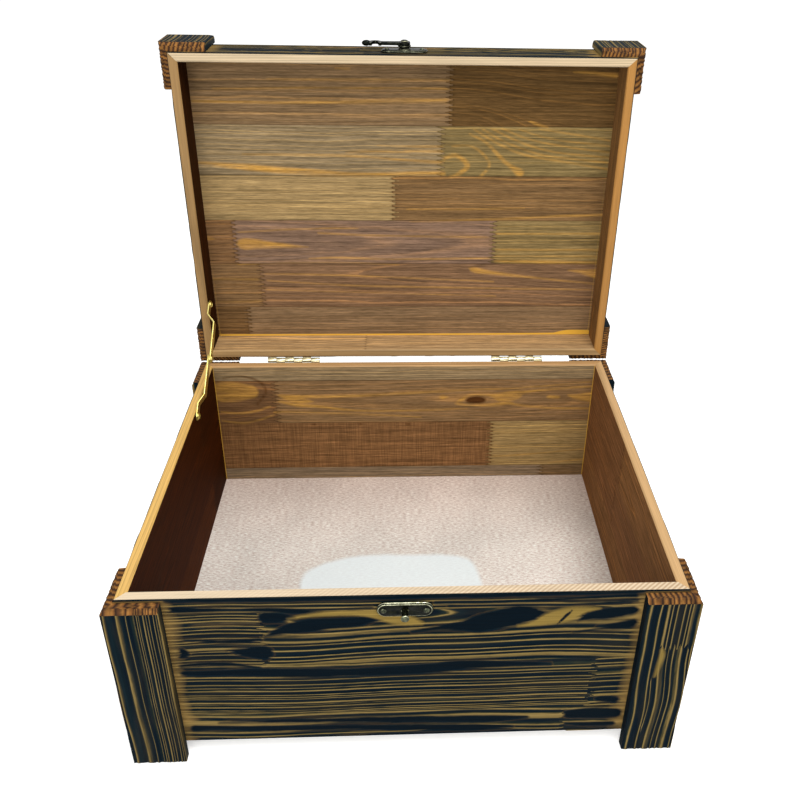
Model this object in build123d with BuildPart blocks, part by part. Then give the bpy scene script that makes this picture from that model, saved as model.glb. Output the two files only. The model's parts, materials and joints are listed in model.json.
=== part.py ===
from build123d import *

import os

# Wooden chest: mitred case and lid, corner plates, knuckle hinges, swing latch and folding lid stay.

os.makedirs("parts", exist_ok=True)

# Driving dimensions, in millimetres.  +X is to the right, +Y to the back, +Z up.

# case
case_width = 386.0
case_depth = 290.0
board = 8.0  # thickness of the case walls and the lid rails
rim_height = 160.0  # floor to the rim
foot_drop = 14.5  # how far the corner plates reach below the walls
floor_lift = 8.5  # lower edge of the walls to the top of the bottom panel
bottom_thick = 4.0
groove_depth = 4.0
groove_play = 0.2

# lid
lid_rail_height = 28.0
lid_top_thick = 7.0
lid_top_round = 2.0
lid_plate_reach = 41.0  # rim plane of the lid to the far end of its corner plates
lid_plate_round = 5.0
close_gap = 0.4  # left between the two rims when the lid is shut

# corner plates
plate_width = 38.0
plate_thick = 7.0
plate_gap = 2.2  # plates stop this far short of the rim
bevel_out = 2.2
bevel_run = 3.8
plate_arris = 0.8

# hinges
hinge_length = 50.0
hinge_spacing = 217.5
hinge_setback = 3.0  # pin axis behind the back face
leaf_width = 17.0
leaf_thick = 1.2
leaf_corner = 2.0
barrel_radius = 2.3
knuckle_count = 6
knuckle_gap = 0.3
knuckle_relief = 0.4
hinge_pin_radius = 1.1
pin_play = 0.05
leaf_screw_pitch = 17.0
leaf_screw_row = 10.5

# small round pieces are drawn with few sides, because there are many of them
screw_sides = 12
turned_sides = 20

# small screws
screw_radius = 1.2
screw_length = 6.0
screw_play = 0.05
leaf_screw_head = 2.4
latch_screw_head = 2.1
screw_head_height = 0.8

# latch on the lid and its keeper on the case
latch_x = -1.0
latch_drop = 11.8  # rim to the middle of each plate
latch_plate_length = 38.5
latch_plate_width = 12.5
latch_plate_thick = 2.2
latch_plate_edge = 1.0
latch_screw_spacing = 29.0
boss_radius = 5.4
boss_waist_radius = 4.3
boss_rim = 0.7
boss_height = 3.2
lever_play = 0.2
lever_thick = 2.6
lever_eye_radius = 4.8
lever_root_width = 5.6
lever_neck_width = 3.4
claw_radius = 5.2
claw_lip_reach = 3.6
knob_reach = 31.2
knob_radius = 2.5
knob_length = 7.6
rivet_radius = 1.6
rivet_head_radius = 3.1
rivet_head_height = 1.2
stud_neck_radius = 2.2
stud_head_radius = 2.9
stud_head_height = 1.4
stud_play = 0.4

# folding stay on the left walls
stay_body_back = 82.5  # hinge axis to the lower pivot, towards the front
stay_body_drop = 5.5  # and below the hinge axis
stay_lid_reach = 59.4  # hinge axis to the upper pivot, up the open lid
stay_lid_inset = 4.2  # and into the lid
stay_width = 8.0
stay_thick = 1.2
stay_seat = 0.3  # wall to the arm at its screw
stay_offset = 5.0  # wall to the lower arm past its joggle
stay_plane_gap = 0.4
stay_play = 0.15
joggle_start = 11.0
joggle_end = 19.0
stay_pin_radius = 1.5
stay_head_radius = 3.2
stay_head_height = 1.4
stay_screw_length = 6.0

# Places that follow from them.
rim_z = rim_height
wall_height = rim_height - foot_drop
floor_depth = wall_height - floor_lift
stud_neck_length = boss_height + lever_play + lever_thick + 2 * lever_play
stud_reach = latch_plate_thick + stud_neck_length + stud_head_height
front_reach = max(stud_reach, plate_thick)
rear_reach = case_depth + hinge_setback + close_gap / 2 + lid_plate_reach
front_y = front_reach - (front_reach + rear_reach) / 2
hinge_y = front_y + case_depth + hinge_setback
hinge_z = rim_z + close_gap / 2

# Both halves use the same local axes: x to the right, y from the front face to the back face and
# z square to the rim.  The case lies below its rim; the lid, swung open a quarter turn, above its own.
case_frame = Plane(origin=(0, front_y, rim_z))
lid_frame = Plane(
    origin=(0, hinge_y + close_gap / 2, hinge_z + case_depth + hinge_setback),
    x_dir=(1, 0, 0),
    z_dir=(0, 1, 0),
)


def finish(builder, name):
    """Label a finished sub-part and write it."""
    builder.part.label = name
    export_step(builder.part, f"parts/{name}.step")


def side_planes(frame):
    """One plane per wall at the rim: x along the wall, y inwards from its outer face, z as the frame."""
    across = frame.x_dir
    along = frame.y_dir
    middle = case_depth / 2
    half = case_width / 2
    return {
        "front": Plane(frame.from_local_coords(Vector(0, 0, 0)), x_dir=across, z_dir=frame.z_dir),
        "right": Plane(frame.from_local_coords(Vector(half, middle, 0)), x_dir=along, z_dir=frame.z_dir),
        "back": Plane(frame.from_local_coords(Vector(0, case_depth, 0)), x_dir=-across, z_dir=frame.z_dir),
        "left": Plane(frame.from_local_coords(Vector(-half, middle, 0)), x_dir=-along, z_dir=frame.z_dir),
    }


def wall_length(side):
    """Outer length of a wall."""
    return case_width if side in ("front", "back") else case_depth


def face_plane(frame, x, z, depth=0.0, outward=-1):
    """A plane on the front (outward -1) or back (outward 1) face: z out of the wood, y as the frame's z."""
    return Plane(
        origin=frame.from_local_coords(Vector(x, depth, z)),
        x_dir=frame.x_dir * -outward,
        z_dir=frame.y_dir * outward,
    )


def mitred_outline(length):
    """Plan of a wall, mitred at both ends."""
    with BuildSketch() as outline:
        with BuildLine():
            Polyline(
                (-length / 2, 0),
                (length / 2, 0),
                (length / 2 - board, board),
                (-length / 2 + board, board),
                close=True,
            )
        make_face()
    return outline.sketch


def bore_pilots(plane, points, radius=screw_radius, depth=screw_length):
    """Bore screw holes from a face plane into the wood of the sub-part being made."""
    with BuildSketch(plane) as pilots:
        with Locations(*points):
            RegularPolygon(radius + screw_play, screw_sides)
    extrude(pilots.sketch, amount=-depth - screw_play, mode=Mode.SUBTRACT)


leaf_screw_points = [(leaf_screw_pitch * step, 0) for step in (-1, 0, 1)]
latch_screw_points = [(-latch_screw_spacing / 2, 0), (latch_screw_spacing / 2, 0)]
hinge_places = {"left": -hinge_spacing / 2, "right": hinge_spacing / 2}


def leaf_face(frame, hinge_x, direction):
    """Back face centred on a leaf's row of screws; direction is -1 down the case, 1 up the lid."""
    axis_level = -direction * close_gap / 2
    return face_plane(frame, hinge_x, axis_level + direction * leaf_screw_row, case_depth, 1)


# The stay stands straight when the lid is open, from a screw in the case to a screw in the lid.
stay_wall_x = -case_width / 2 + board
stay_low = Vector(stay_wall_x, hinge_y - stay_body_back, hinge_z - stay_body_drop)
stay_high = Vector(stay_wall_x, hinge_y + stay_lid_inset, hinge_z + stay_lid_reach)
stay_run = stay_high - stay_low
stay_arm = stay_run.length / 2
low_plane = Plane(origin=stay_low, x_dir=stay_run, z_dir=(1, 0, 0))
high_plane = Plane(origin=stay_high, x_dir=-stay_run, z_dir=(1, 0, 0))

# Case walls.  Each is mitred, grooved for the bottom panel and bored for the screws that enter it.
for side, plane in side_planes(case_frame).items():
    with BuildPart() as case_wall:
        with BuildSketch(plane.offset(-wall_height)):
            add(mitred_outline(wall_length(side)))
        extrude(amount=wall_height)
        with BuildSketch(plane.offset(-floor_depth - bottom_thick)):
            with Locations((0, board - groove_depth / 2)):
                Rectangle(wall_length(side), groove_depth)
        extrude(amount=bottom_thick + groove_play, mode=Mode.SUBTRACT)
        if side == "front":
            bore_pilots(face_plane(case_frame, latch_x, -latch_drop), latch_screw_points)
        if side == "back":
            for hinge_x in hinge_places.values():
                bore_pilots(leaf_face(case_frame, hinge_x, -1), leaf_screw_points)
        if side == "left":
            bore_pilots(low_plane, [(0, 0)], stay_pin_radius, stay_screw_length)
    finish(case_wall, f"{side}_wall")

# Bottom panel, lying in the grooves.
with BuildPart() as bottom_panel:
    with BuildSketch(case_frame.offset(-floor_depth - bottom_thick)):
        with Locations((0, case_depth / 2)):
            Rectangle(
                case_width - 2 * (board - groove_depth + groove_play),
                case_depth - 2 * (board - groove_depth + groove_play),
            )
    extrude(amount=bottom_thick)
finish(bottom_panel, "bottom_panel")

# Lid rails and the top panel glued over them.
for side, plane in side_planes(lid_frame).items():
    with BuildPart() as lid_rail:
        with BuildSketch(plane):
            add(mitred_outline(wall_length(side)))
        extrude(amount=lid_rail_height)
        if side == "front":
            bore_pilots(face_plane(lid_frame, latch_x, latch_drop), latch_screw_points)
        if side == "back":
            for hinge_x in hinge_places.values():
                bore_pilots(leaf_face(lid_frame, hinge_x, 1), leaf_screw_points)
        if side == "left":
            bore_pilots(high_plane, [(0, 0)], stay_pin_radius, stay_screw_length)
    finish(lid_rail, f"lid_{side}_rail")

with BuildPart() as lid_top:
    with BuildSketch(lid_frame.offset(lid_rail_height)):
        with Locations((0, case_depth / 2)):
            Rectangle(case_width, case_depth)
    extrude(amount=lid_top_thick)
    fillet(lid_top.faces().sort_by(Axis.Y)[-1].edges(), radius=min(lid_top_round, 0.8 * lid_top_thick))
finish(lid_top, "lid_top")


# Corner plates: two to a corner, mitred together, stopping short of the rim with a bevelled end.
def case_plate_profile():
    """Section across a case plate: x outwards, y down from the rim."""
    foot = wall_height + foot_drop
    with BuildSketch() as profile:
        with BuildLine():
            Polyline(
                (0, plate_gap),
                (plate_thick - bevel_out, plate_gap),
                (plate_thick, plate_gap + bevel_run),
                (plate_thick, foot - plate_arris),
                (plate_thick - plate_arris, foot),
                (0, foot),
                close=True,
            )
        make_face()
    return profile.sketch


def lid_plate_profile():
    """Section across a lid plate: x outwards, -y away from the rim, rounded over at its far end."""
    turn = min(lid_plate_round, 0.9 * plate_thick)
    with BuildSketch() as profile:
        with BuildLine():
            near = Polyline(
                (0, -plate_gap),
                (plate_thick - bevel_out, -plate_gap),
                (plate_thick, -plate_gap - bevel_run),
                (plate_thick, turn - lid_plate_reach),
            )
            far = Polyline(
                (plate_thick - turn, -lid_plate_reach),
                (0, -lid_plate_reach),
                (0, -plate_gap),
            )
            TangentArc(near @ 1, far @ 0, tangent=(0, -1))
        make_face()
    return profile.sketch


def plate_plan(length, end):
    """Plan of one plate at one end of a wall: mitred at the corner, eased on its free edge."""
    corner = length / 2 + plate_thick
    free = corner - plate_width
    with BuildSketch() as plan:
        with BuildLine():
            Polyline(
                (end * length / 2, 0),
                (end * corner, -plate_thick),
                (end * (free + plate_arris), -plate_thick),
                (end * free, plate_arris - plate_thick),
                (end * free, 0),
                close=True,
            )
        make_face()
    return plan.sketch


corner_names = {
    ("front", -1): "front_left",
    ("front", 1): "front_right",
    ("right", -1): "right_front",
    ("right", 1): "right_back",
    ("back", -1): "back_right",
    ("back", 1): "back_left",
    ("left", -1): "left_back",
    ("left", 1): "left_front",
}
halves = {
    "case_plate": (case_frame, -rim_height, rim_height, case_plate_profile()),
    "lid_plate": (lid_frame, 0.0, lid_plate_reach, lid_plate_profile()),
}

for half, (frame, lowest, height, profile) in halves.items():
    planes = side_planes(frame)
    for (side, end), place in corner_names.items():
        plane = planes[side]
        section = Plane(origin=plane.origin, x_dir=-plane.y_dir, z_dir=plane.x_dir)
        with BuildPart() as corner_plate:
            with BuildSketch(plane.offset(lowest)):
                add(plate_plan(wall_length(side), end))
            extrude(amount=height)
            with BuildSketch(section):
                add(profile)
            extrude(amount=case_width, both=True, mode=Mode.INTERSECT)
        finish(corner_plate, f"{half}_{place}")

# Hinges.  Lid and case knuckles alternate along one pin, a lid knuckle first from the left.
knuckle_pitch = hinge_length / knuckle_count
knuckle_width = knuckle_pitch - knuckle_gap


def knuckle_centres(first):
    """Places along the pin of every second knuckle."""
    return [(step + 0.5) * knuckle_pitch - hinge_length / 2 for step in range(first, knuckle_count, 2)]


leaves = {
    "case_leaf": (case_frame, -1, knuckle_centres(1), knuckle_centres(0)),
    "lid_leaf": (lid_frame, 1, knuckle_centres(0), knuckle_centres(1)),
}

def bore(radius, mode=Mode.ADD):
    """Outline of a hole that clears a round pin of that radius."""
    RegularPolygon(radius + pin_play, turned_sides, major_radius=False, mode=mode)


for hinge_side, hinge_x in hinge_places.items():
    for leaf_name, (frame, direction, own, other) in leaves.items():
        axis_level = -direction * close_gap / 2
        pin_centre = Vector(hinge_x, case_depth + hinge_setback, axis_level)
        pin_plane = Plane(frame.from_local_coords(pin_centre), x_dir=frame.y_dir, z_dir=frame.x_dir)
        back_face = face_plane(frame, hinge_x, axis_level, case_depth, 1)
        screw_face = leaf_face(frame, hinge_x, direction)
        with BuildPart() as hinge_leaf:
            with BuildSketch(back_face):
                with Locations((0, direction * leaf_width / 2)):
                    Rectangle(hinge_length, leaf_width)
                fillet(vertices().group_by(Axis.Y)[-1 if direction > 0 else 0], radius=leaf_corner)
                with Locations(*[(-centre, 0) for centre in other]):
                    Rectangle(
                        knuckle_pitch + knuckle_gap,
                        2 * (barrel_radius + knuckle_relief),
                        mode=Mode.SUBTRACT,
                    )
            extrude(amount=leaf_thick)
            for centre in own:
                with BuildSketch(pin_plane.offset(centre - knuckle_width / 2)):
                    RegularPolygon(barrel_radius, turned_sides)
                extrude(amount=knuckle_width)
            with BuildSketch(pin_plane):
                bore(hinge_pin_radius)
            extrude(amount=hinge_length, both=True, mode=Mode.SUBTRACT)
            with BuildSketch(screw_face):
                with Locations(*leaf_screw_points):
                    RegularPolygon(screw_radius + screw_play, screw_sides)
            extrude(amount=leaf_thick, mode=Mode.SUBTRACT)
        finish(hinge_leaf, f"hinge_{hinge_side}_{leaf_name}")

    with BuildPart() as hinge_pin:
        with BuildSketch(Plane.YZ.offset(hinge_x)):
            with Locations((hinge_y, hinge_z)):
                RegularPolygon(hinge_pin_radius, turned_sides)
        extrude(amount=hinge_length / 2, both=True)
    finish(hinge_pin, f"hinge_{hinge_side}_pin")


def turned(section_points):
    """A small turned piece about +Z, stacked from radius and height pairs that start at its foot."""
    with BuildPart() as piece:
        for (low_radius, low), (high_radius, high) in zip(section_points, section_points[1:]):
            if high > low:
                for radius, height in ((low_radius, low), (high_radius, high)):
                    with BuildSketch(Plane.XY.offset(height)):
                        RegularPolygon(radius, turned_sides)
                loft(ruled=True)
    return piece.part


def head_section(radius, base, height, edge=0.4):
    """Radius and height pairs of a low head with a sloping edge; edge is the share of it that slopes."""
    return [
        (radius, base),
        (radius, base + (1 - edge) * height),
        (radius - edge * height * 2, base + height),
    ]


def add_screws(plane, points, head_radius, base):
    """Screws standing in the wood under a plate of thickness base."""
    for height, radius, start in (
        (screw_length, screw_radius, base - screw_length),
        (screw_head_height, head_radius, base),
    ):
        with BuildSketch(plane.offset(start)) as section:
            with Locations(*points):
                RegularPolygon(radius, screw_sides)
        extrude(section.sketch, amount=height)


keeper_face = face_plane(case_frame, latch_x, -latch_drop)
latch_face = face_plane(lid_frame, latch_x, latch_drop)

# Screws, each kind a group of separate solids.
for leaf_name, (frame, direction, own, other) in leaves.items():
    with BuildPart() as leaf_screws:
        for hinge_x in hinge_places.values():
            add_screws(leaf_face(frame, hinge_x, direction), leaf_screw_points, leaf_screw_head, leaf_thick)
    finish(leaf_screws, f"{leaf_name}_screws")

for plate_name, plane in (("keeper", keeper_face), ("latch", latch_face)):
    with BuildPart() as plate_screws:
        add_screws(plane, latch_screw_points, latch_screw_head, latch_plate_thick)
    finish(plate_screws, f"{plate_name}_screws")


# Latch.  An oblong plate with a spool-shaped boss carries the lever; the keeper's stud takes its claw.
def outward_faces(plane):
    """Faces of the sub-part being made, sorted along the plane's normal."""
    return faces().sort_by(Axis(plane.origin, plane.z_dir))


boss_top = latch_plate_thick + boss_height
boss_section = [
    (boss_radius, 0),
    (boss_radius, latch_plate_thick + boss_rim),
    (boss_waist_radius, latch_plate_thick + 2 * boss_rim),
    (boss_radius, boss_top - boss_rim),
    (boss_radius, boss_top),
]
for plate_name, plane, hole_radius in (
    ("keeper_plate", keeper_face, stud_neck_radius),
    ("latch_plate", latch_face, rivet_radius),
):
    with BuildPart() as oblong_plate:
        with BuildSketch(plane):
            SlotOverall(latch_plate_length, latch_plate_width)
        extrude(amount=latch_plate_thick)
        chamfer(outward_faces(plane)[-1].edges(), length=latch_plate_edge)
        if plate_name == "latch_plate":
            with Locations(plane.location):
                add(turned(boss_section))
        with BuildSketch(plane):
            bore(hole_radius)
            with Locations(*latch_screw_points):
                RegularPolygon(screw_radius + screw_play, screw_sides)
        extrude(amount=boss_top, mode=Mode.SUBTRACT)
    finish(oblong_plate, plate_name)

with BuildPart() as keeper_stud:
    with Locations(keeper_face.location):
        stud_head = head_section(stud_head_radius, stud_reach - stud_head_height, stud_head_height)
        add(turned([(stud_neck_radius, 0), (stud_neck_radius, stud_reach - stud_head_height), *stud_head]))
finish(keeper_stud, "keeper_stud")

lever_low = boss_top + lever_play
lever_plane = latch_face.offset(lever_low)
hook_reach = 2 * latch_drop + close_gap  # pivot to stud when the lid is shut
notch_half = stud_neck_radius + stud_play
lip_middle = (notch_half + claw_radius) / 2

# An egg-shaped knob, from its end towards the claw to its tip.
knob_section = [
    (knob_radius * across, knob_length / 2 * along)
    for across, along in ((0.3, -1), (0.72, -0.75), (1, -0.1), (0.9, 0.45), (0.62, 0.82), (0.25, 1))
]

with BuildPart() as latch_lever:
    with BuildSketch(lever_plane):
        Circle(lever_eye_radius)
        with BuildLine():
            Polyline(
                (0, lever_root_width / 2),
                (-knob_reach, lever_neck_width / 2),
                (-knob_reach, -lever_neck_width / 2),
                (0, -lever_root_width / 2),
                close=True,
            )
        make_face()
        with Locations((-hook_reach, 0)):
            Circle(claw_radius)
        with Locations((-hook_reach, -claw_lip_reach - claw_radius)):
            Rectangle(4 * claw_radius, 2 * claw_radius, mode=Mode.SUBTRACT)
        with Locations((-hook_reach, -claw_lip_reach)):
            with Locations((-lip_middle, 0), (lip_middle, 0)):
                Circle(claw_radius - lip_middle)
        with Locations((-hook_reach, 0)):
            Circle(notch_half, mode=Mode.SUBTRACT)
        with Locations((-hook_reach, -claw_radius)):
            Rectangle(2 * notch_half, 2 * claw_radius, mode=Mode.SUBTRACT)
        bore(rivet_radius, mode=Mode.SUBTRACT)
    extrude(amount=lever_thick)
    knob_middle = lever_plane.from_local_coords(Vector(-knob_reach, 0, lever_thick / 2))
    with Locations(Plane(knob_middle, z_dir=-lever_plane.x_dir).location):
        add(turned(knob_section))
finish(latch_lever, "latch_lever")

lever_top = lever_low + lever_thick + lever_play
with BuildPart() as latch_rivet:
    with Locations(latch_face.location):
        rivet_head = head_section(rivet_head_radius, lever_top, rivet_head_height)
        add(turned([(rivet_radius, 0), (rivet_radius, lever_top), *rivet_head]))
finish(latch_rivet, "latch_rivet")


# Folding stay: two joggled arms in planes of their own, so that they pass each other when the lid shuts.
def joggled_arm(plane, offset):
    """A flat arm from its screw at the plane's origin, stepped out from the wall to offset."""
    with BuildPart() as arm:
        with BuildSketch(plane):
            with Locations((stay_arm / 2, 0)):
                SlotCenterToCenter(stay_arm, stay_width)
        extrude(amount=offset + stay_thick)
        with BuildSketch(Plane(plane.origin, x_dir=plane.x_dir, z_dir=-plane.y_dir)):
            with BuildLine():
                Polyline(
                    (-stay_width, stay_seat),
                    (joggle_start, stay_seat),
                    (joggle_end, offset),
                    (stay_arm + stay_width, offset),
                    (stay_arm + stay_width, offset + stay_thick),
                    (joggle_end, offset + stay_thick),
                    (joggle_start, stay_seat + stay_thick),
                    (-stay_width, stay_seat + stay_thick),
                    close=True,
                )
            make_face()
        extrude(amount=stay_width, both=True, mode=Mode.INTERSECT)
        with BuildSketch(plane):
            bore(stay_pin_radius)
        extrude(amount=offset, mode=Mode.SUBTRACT)
    return arm.part


upper_offset = stay_offset + stay_thick + stay_plane_gap

with BuildPart() as stay_lower_arm:
    add(joggled_arm(low_plane, stay_offset))
finish(stay_lower_arm, "stay_lower_arm")

with BuildPart() as stay_upper_arm:
    add(joggled_arm(high_plane, upper_offset))
    with BuildSketch(high_plane.offset(upper_offset)):
        with Locations((stay_arm, 0)):
            bore(stay_pin_radius)
    extrude(amount=stay_thick, mode=Mode.SUBTRACT)
finish(stay_upper_arm, "stay_upper_arm")

elbow_plane = Plane(high_plane.from_local_coords(Vector(stay_arm, 0, upper_offset)), z_dir=high_plane.z_dir)
with BuildPart() as stay_elbow_rivet:
    with Locations(elbow_plane.location):
        elbow_head = head_section(stay_head_radius, stay_thick, stay_head_height)
        add(turned([(stay_pin_radius, 0), (stay_pin_radius, stay_thick), *elbow_head]))
finish(stay_elbow_rivet, "stay_elbow_rivet")

head_base = stay_seat + stay_thick + stay_play
for screw_name, plane in (("stay_case_screw", low_plane), ("stay_lid_screw", high_plane)):
    with BuildPart() as stay_screw:
        with Locations(plane.location):
            screw_head = head_section(stay_head_radius, head_base, stay_head_height)
            add(turned([(stay_pin_radius, -stay_screw_length), (stay_pin_radius, head_base), *screw_head]))
    finish(stay_screw, screw_name)
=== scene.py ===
import json
import math

import bmesh
import bpy
import numpy as np
from mathutils import Matrix, Vector


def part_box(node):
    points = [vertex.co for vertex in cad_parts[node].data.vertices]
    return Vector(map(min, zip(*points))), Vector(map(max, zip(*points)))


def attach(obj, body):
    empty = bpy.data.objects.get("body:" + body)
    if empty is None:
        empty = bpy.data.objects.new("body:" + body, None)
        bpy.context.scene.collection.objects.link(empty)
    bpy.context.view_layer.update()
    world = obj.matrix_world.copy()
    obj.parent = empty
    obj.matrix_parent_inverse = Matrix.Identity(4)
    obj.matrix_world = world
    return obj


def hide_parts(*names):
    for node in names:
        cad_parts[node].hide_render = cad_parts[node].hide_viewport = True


# Wooden chest on its lid stay: brushed and flamed pine outside, stained pine inside.
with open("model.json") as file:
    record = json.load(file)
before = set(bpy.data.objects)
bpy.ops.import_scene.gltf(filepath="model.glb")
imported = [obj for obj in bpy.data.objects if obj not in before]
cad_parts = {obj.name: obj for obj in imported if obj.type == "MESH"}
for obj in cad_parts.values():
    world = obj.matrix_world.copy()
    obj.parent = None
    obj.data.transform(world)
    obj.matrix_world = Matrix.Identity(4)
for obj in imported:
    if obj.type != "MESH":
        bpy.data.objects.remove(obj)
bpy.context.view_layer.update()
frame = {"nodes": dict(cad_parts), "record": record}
cadNodes = frame["nodes"]
mm = 0.001
endless = 1e6  # millimetres, beyond the end of every board
farOff = 9.0  # millimetres, as far from a mark as it matters


def linear(hexColour):
    channels = [int(hexColour[place : place + 2], 16) / 255 for place in (1, 3, 5)]
    return [c / 12.92 if c <= 0.04045 else ((c + 0.055) / 1.055) ** 2.4 for c in channels] + [1.0]


def newMaterial(name):
    material = bpy.data.materials.new(name)
    material.use_nodes = True
    material.node_tree.nodes.clear()
    return material


def addNode(owner, kind, settings=None, inputs=None, stops=None, output=0):
    # an input is a number, a vector, a colour, the output of another node, the name of a value stored on
    # the mesh, or the inputs of a MapRange node; gives back one output, the colour if it is a Mix node
    node = owner.node_tree.nodes.new("ShaderNode" + kind)
    for name, value in (settings or {}).items():
        setattr(node, name, value)
    for name, value in (inputs or {}).items():
        if isinstance(value, dict):
            value = addNode(owner, "MapRange", inputs=value)
        elif isinstance(value, str) and value[0] == "#":
            value = linear(value)
        elif isinstance(value, str):
            value = addNode(owner, "Attribute", {"attribute_name": value}, output="Fac")
        if isinstance(value, bpy.types.NodeSocket):
            owner.node_tree.links.new(value, node.inputs[name])
        else:
            node.inputs[name].default_value = value
    if stops:
        ramp = node.color_ramp
        while len(ramp.elements) > len(stops):
            ramp.elements.remove(ramp.elements[-1])
        while len(ramp.elements) < len(stops):
            ramp.elements.new(1.0)
        for element, (position, colour) in zip(ramp.elements, stops):
            element.position = position
            element.color = linear(colour) if isinstance(colour, str) else [colour] * 3 + [1.0]
    if kind == "Mix":
        return node.outputs[2]
    return node.outputs[output] if node.outputs else None


blend = {"data_type": "RGBA", "blend_type": "MIX"}
tint = {"data_type": "RGBA", "blend_type": "MULTIPLY"}
product = {"operation": "MULTIPLY"}
scaledSum = {"operation": "MULTIPLY_ADD"}


def woodFibre(material, stretch, detail=4.0):
    # streaks along the grain; stretch is how many to a metre, along and across
    along = addNode(material, "Attribute", {"attribute_name": "along"}, output="Vector")
    run = addNode(material, "Mapping", inputs={"Vector": along, "Scale": stretch})
    noise = {"Vector": run, "Scale": 1.0, "Detail": detail, "Roughness": 0.65}
    return addNode(material, "TexNoise", inputs=noise)


def yearRings(material, jitter):
    # place inside the ring, from one summer line to the next, and the count of rings
    wobble = woodFibre(material, (24.0, 180.0, 180.0))
    count = addNode(material, "Math", scaledSum, {0: wobble, 1: jitter, 2: "ring"})
    return addNode(material, "Math", {"operation": "FRACT"}, {0: count}), count


def ringChance(material, count):
    # a random number for each ring
    whole = addNode(material, "Math", {"operation": "FLOOR"}, {0: count})
    return addNode(material, "TexWhiteNoise", {"noise_dimensions": "1D"}, {"W": whole})


def finishMaterial(material, colour, layers, roughness, height, bumpDistance, specular, metallic=0.0):
    # each layer is a way to mix, its strength and what goes over the colour
    for way, strength, over in layers:
        colour = addNode(material, "Mix", way, {0: strength, 6: colour, 7: over})
    look = {
        "Base Color": colour,
        "Roughness": roughness,
        "Metallic": metallic,
        "Specular IOR Level": specular,
        "Normal": addNode(material, "Bump", inputs={"Height": height, "Distance": bumpDistance}),
    }
    surface = addNode(material, "BsdfPrincipled", inputs=look)
    addNode(material, "OutputMaterial", inputs={"Surface": surface})
    return material


def makeScorchedPine():
    # Pine, flamed black, brushed along the grain and varnished: soft spring wood is charred blue black
    # and sunken, hard summer wood stays as raised golden lines.
    material = newMaterial("scorchedPine")
    inside, count = yearRings(material, 0.3)
    width = {0: ringChance(material, count), 3: 0.7, 4: 1.6}
    place = addNode(material, "Math", {"operation": "POWER"}, {0: inside, 1: width})
    burnt = [(0.0, "#857042"), (0.07, "#7b673b"), (0.15, "#3f3826"), (0.24, "#0a1a20"), (0.5, "#02101a"),
             (0.72, "#02101a"), (0.87, "#12201f"), (0.94, "#4f4529"), (1.0, "#857042")]
    stripes = addNode(material, "ValToRGB", inputs={"Fac": place}, stops=burnt)
    unburnt = [(0.0, "#957844"), (0.3, "#7c643a"), (0.7, "#745c35"), (1.0, "#957844")]
    raw = addNode(material, "ValToRGB", inputs={"Fac": place}, stops=unburnt)
    patches = woodFibre(material, (9.0, 60.0, 60.0))
    charred = addNode(material, "Math", scaledSum, {0: patches, 1: 1.1, 2: "char"})
    edge = woodFibre(material, (30.0, 260.0, 260.0))
    ragged = addNode(material, "Math", scaledSum, {0: edge, 1: 4.0, 2: "shade"})
    black = addNode(material, "MapRange", inputs={0: ragged, 1: 3.6, 2: 0.6})
    sooty = [(0.0, "#7d6438"), (0.35, "#3c2d1d"), (0.62, "#0a1a22"), (1.0, "#010d16")]
    shade = addNode(material, "ValToRGB", inputs={"Fac": black}, stops=sooty)
    fibre = woodFibre(material, (14.0, 900.0, 900.0))
    layers = (
        (blend, {0: charred, 1: 0.55, 2: 1.0}, stripes),
        (blend, {0: patches, 1: 0.46, 2: 0.7, 4: 0.36}, "#362f20"),  # haze of soot
        (blend, {0: "summerWood", 1: 1.6, 2: -1.6}, "#877038"),
        (blend, black, shade),
        (tint, 1.0, {0: fibre, 1: 0.3, 2: 0.7, 3: 0.68, 4: 1.3}),
    )
    return finishMaterial(material, raw, layers, 0.55, fibre, 0.00012, 0.025)


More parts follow.
